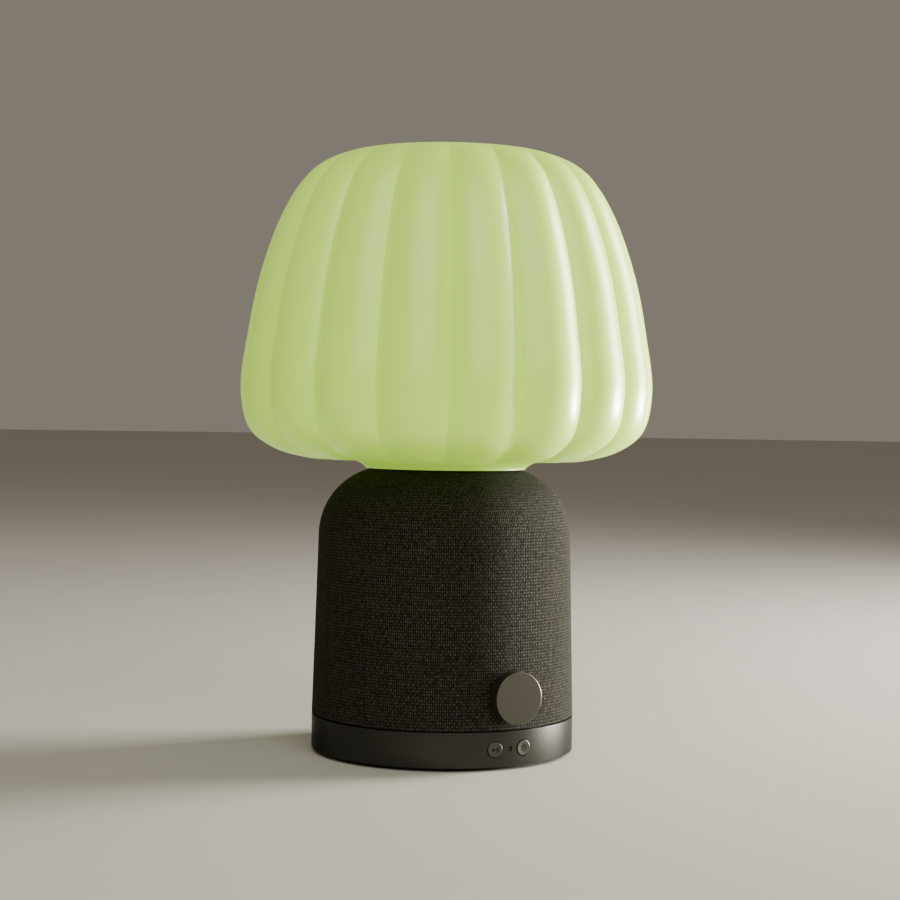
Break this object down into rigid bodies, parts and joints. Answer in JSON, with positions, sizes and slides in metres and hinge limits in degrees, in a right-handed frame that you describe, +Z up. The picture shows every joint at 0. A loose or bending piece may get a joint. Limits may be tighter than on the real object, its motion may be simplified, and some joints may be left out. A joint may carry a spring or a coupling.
{
  "type": "speaker lamp",
  "caption": "Table lamp with a built-in wireless speaker: ribbed opal glass shade on a cloth-covered base with a metal foot ring, a turn-and-push knob and push buttons.",
  "frame": {"origin": "centre of the base's underside, on the surface it stands on", "axes": "+Z up, along the lamp's axis; -Y is the front, where the knob and the buttons are; +Y is the rear, where the mains inlet is; +X is to the right seen from the front"},
  "size_m": [0.2488, 0.252, 0.3656],
  "materials": {
    "glass": "satin opal glass, ribbed, pale yellow-green",
    "cloth": "woven acoustic cloth, dark olive-black",
    "ring": "satin anodised, dark olive-grey",
    "knob": "satin anodised, olive-grey, bright cut edge",
    "black_plastic": "moulded, matt black",
    "rubber": "soft, matt black",
    "steel": "zinc plated",
    "brass": "plain turned",
    "alloy": "plain cast",
    "board": "glass-fibre circuit board, green",
    "light_board": "metal-core board, white face",
    "frosted": "frosted white",
    "magnet": "coated ferrite and steel",
    "cone": "pressed fibre, matt black",
    "copper": "enamelled copper winding",
    "wire": "insulated wire, dark red"
  },
  "bodies": {
    "base": {"foot_pad": "rubber", "base_plate": "black_plastic", "ballast_disc": "steel", "base_screw_1": "steel", "base_screw_2": "steel", "base_screw_3": "steel", "base_screw_4": "steel", "base_ring": "ring", "play_switch": "black_plastic", "mode_switch": "black_plastic", "control_board": "board", "status_light_pipe": "frosted", "main_board": "board", "radio_module": "steel", "power_board": "board", "mains_inlet": "black_plastic", "deck": "black_plastic", "grille_shell": "black_plastic", "cloth_sleeve": "cloth", "encoder_bush": "brass", "bush_nut": "steel", "encoder_body": "steel", "encoder_board": "board", "push_switch": "black_plastic", "enclosure_tub": "black_plastic", "front_baffle": "black_plastic", "rear_baffle": "black_plastic", "woofer_basket": "black_plastic", "woofer_magnet": "magnet", "woofer_surround": "rubber", "woofer_spider": "cloth", "woofer_screw_1": "steel", "woofer_screw_2": "steel", "woofer_screw_3": "steel", "woofer_screw_4": "steel", "tweeter_housing": "black_plastic", "tweeter_dome": "cone", "radiator_surround": "rubber", "shade_seat": "black_plastic", "seat_screw_1": "steel", "seat_screw_2": "steel", "seat_screw_3": "steel", "heat_sink": "alloy", "led_board": "light_board", "diffuser_dome": "frosted", "led_lead": "wire", "woofer_lead": "wire", "inlet_lead": "wire"},
    "shade": {"shade_glass": "glass", "shade_collar": "black_plastic", "shade_bond": "rubber"},
    "knob_plunger": {"push_plunger": "frosted"},
    "knob": {"knob_cap": "knob", "knob_shaft": "alloy"},
    "play_key": {"play_button": "ring"},
    "mode_key": {"mode_button": "ring"},
    "woofer_piston": {"woofer_cone": "cone", "voice_coil": "copper", "dust_cap": "cone"},
    "radiator_piston": {"radiator_plate": "cone"}
  },
  "joints": [
    {"name": "shade_twist", "type": "hinge", "parent": "base", "child": "shade", "pos_m": [0, 0, 0.178], "axis": [0, 0, 1], "range_deg": [0, 30]},
    {"name": "knob_press", "type": "slide", "parent": "base", "child": "knob_plunger", "axis": [0, 1, 0], "range_m": [0, 0.0005], "stiffness_N_per_m": 2000, "springref_m": -0.0005},
    {"name": "knob_turn", "type": "hinge", "parent": "knob_plunger", "child": "knob", "pos_m": [0, -0.085, 0.0426], "axis": [0, 1, 0], "continuous": true},
    {"name": "play_press", "type": "slide", "parent": "base", "child": "play_key", "axis": [0.1201, 0.9928, 0], "range_m": [0, 0.0006], "stiffness_N_per_m": 1500, "springref_m": -0.0006},
    {"name": "mode_press", "type": "slide", "parent": "base", "child": "mode_key", "axis": [-0.1201, 0.9928, 0], "range_m": [0, 0.0006], "stiffness_N_per_m": 1500, "springref_m": -0.0006},
    {"name": "woofer_travel", "type": "slide", "parent": "base", "child": "woofer_piston", "axis": [0, -1, 0], "range_m": [-0.002, 0.002], "stiffness_N_per_m": 1500},
    {"name": "radiator_travel", "type": "slide", "parent": "base", "child": "radiator_piston", "axis": [0, 1, 0], "range_m": [-0.002, 0.002], "stiffness_N_per_m": 1200}
  ]
}
